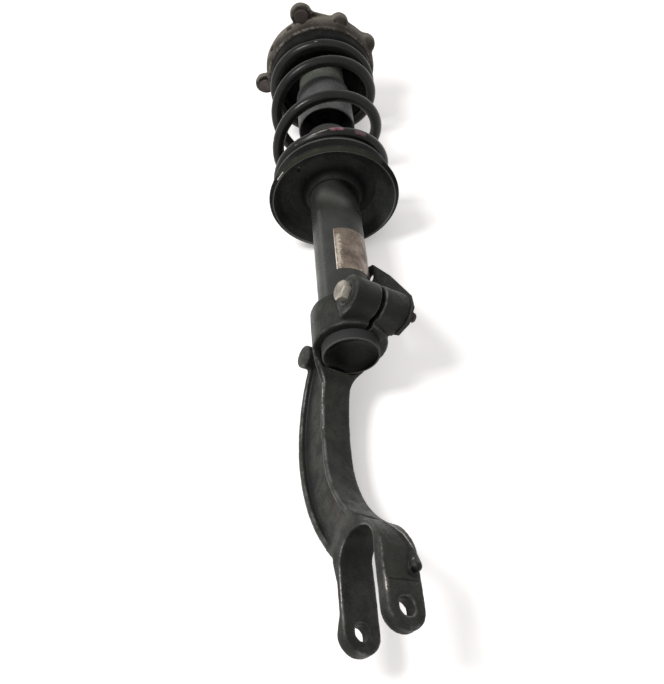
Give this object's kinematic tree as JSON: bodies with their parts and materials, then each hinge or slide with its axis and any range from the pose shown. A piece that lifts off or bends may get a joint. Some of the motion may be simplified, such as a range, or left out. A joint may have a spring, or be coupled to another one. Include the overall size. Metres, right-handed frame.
{
  "type": "coilover",
  "caption": "Front coilover: a damper with its coil spring and cast top mount, clamped in a bowed fork that ends in a clevis.",
  "frame": {"origin": "centre of the clevis bolt hole, on the strut's axis", "axes": "+Z along the strut from the clevis to the top mount, +Y along the clevis bolt, X along the clamp's pinch bolt"},
  "size_m": [0.1501, 0.1621, 0.8101],
  "materials": {
    "fork": "satin black coating over a fine forged grain",
    "pinch_bolt": "worn zinc",
    "press_nut": "dull zinc, tarnished",
    "hose_bracket": "satin black",
    "damper_tube": "semi-gloss black",
    "tube_end_cap": "satin black",
    "locating_collar": "satin black",
    "label_plate": "bare foil, worn and stained",
    "pressure_tube": "drawn",
    "base_valve": "sintered",
    "rod_guide": "die cast",
    "rod_seal": "matt",
    "lower_spring_seat": "semi-gloss black",
    "lower_spring_pad": "matt",
    "piston_rod": "polished",
    "piston": "sintered",
    "piston_band": "satin",
    "piston_nut": "zinc",
    "valve_discs": "spring steel",
    "rebound_stop": "phosphated",
    "coil_spring": "satin black powder coat",
    "spring_isolator": "matt",
    "bump_stop": "matt foam",
    "bump_stop_plate": "zinc",
    "dust_boot": "satin",
    "top_mount": "raw casting, stained",
    "mount_studs": "zinc, tarnished",
    "mount_bush": "matt",
    "bush_core": "turned",
    "cup_washer": "zinc",
    "rod_nut": "zinc"
  },
  "bodies": {
    "lower_unit": {"fork": "fork", "pinch_bolt": "pinch_bolt", "press_nut": "press_nut", "hose_bracket": "hose_bracket", "damper_tube": "damper_tube", "tube_end_cap": "tube_end_cap", "locating_collar": "locating_collar", "label_plate": "label_plate", "pressure_tube": "pressure_tube", "base_valve": "base_valve", "rod_guide": "rod_guide", "rod_seal": "rod_seal", "lower_spring_seat": "lower_spring_seat", "lower_spring_pad": "lower_spring_pad"},
    "band_unit": {"piston_band": "piston_band"},
    "upper_unit": {"piston_rod": "piston_rod", "piston": "piston", "piston_nut": "piston_nut", "valve_discs": "valve_discs", "rebound_stop": "rebound_stop", "coil_spring": "coil_spring", "spring_isolator": "spring_isolator", "bump_stop": "bump_stop", "bump_stop_plate": "bump_stop_plate", "dust_boot": "dust_boot", "top_mount": "top_mount", "mount_studs": "mount_studs", "mount_bush": "mount_bush", "bush_core": "bush_core", "cup_washer": "cup_washer", "rod_nut": "rod_nut"}
  },
  "joints": [
    {"name": "damper_stroke", "type": "slide", "parent": "lower_unit", "child": "band_unit", "axis": [0, 0, 1], "range_m": [-0.08, 0], "stiffness_N_per_m": 30000, "springref_m": 0.0015, "deforming": ["coil_spring", "bump_stop"]},
    {"name": "rod_swivel", "type": "hinge", "parent": "band_unit", "child": "upper_unit", "pos_m": [0, 0, 0.55], "axis": [0, 0, 1], "continuous": true}
  ]
}
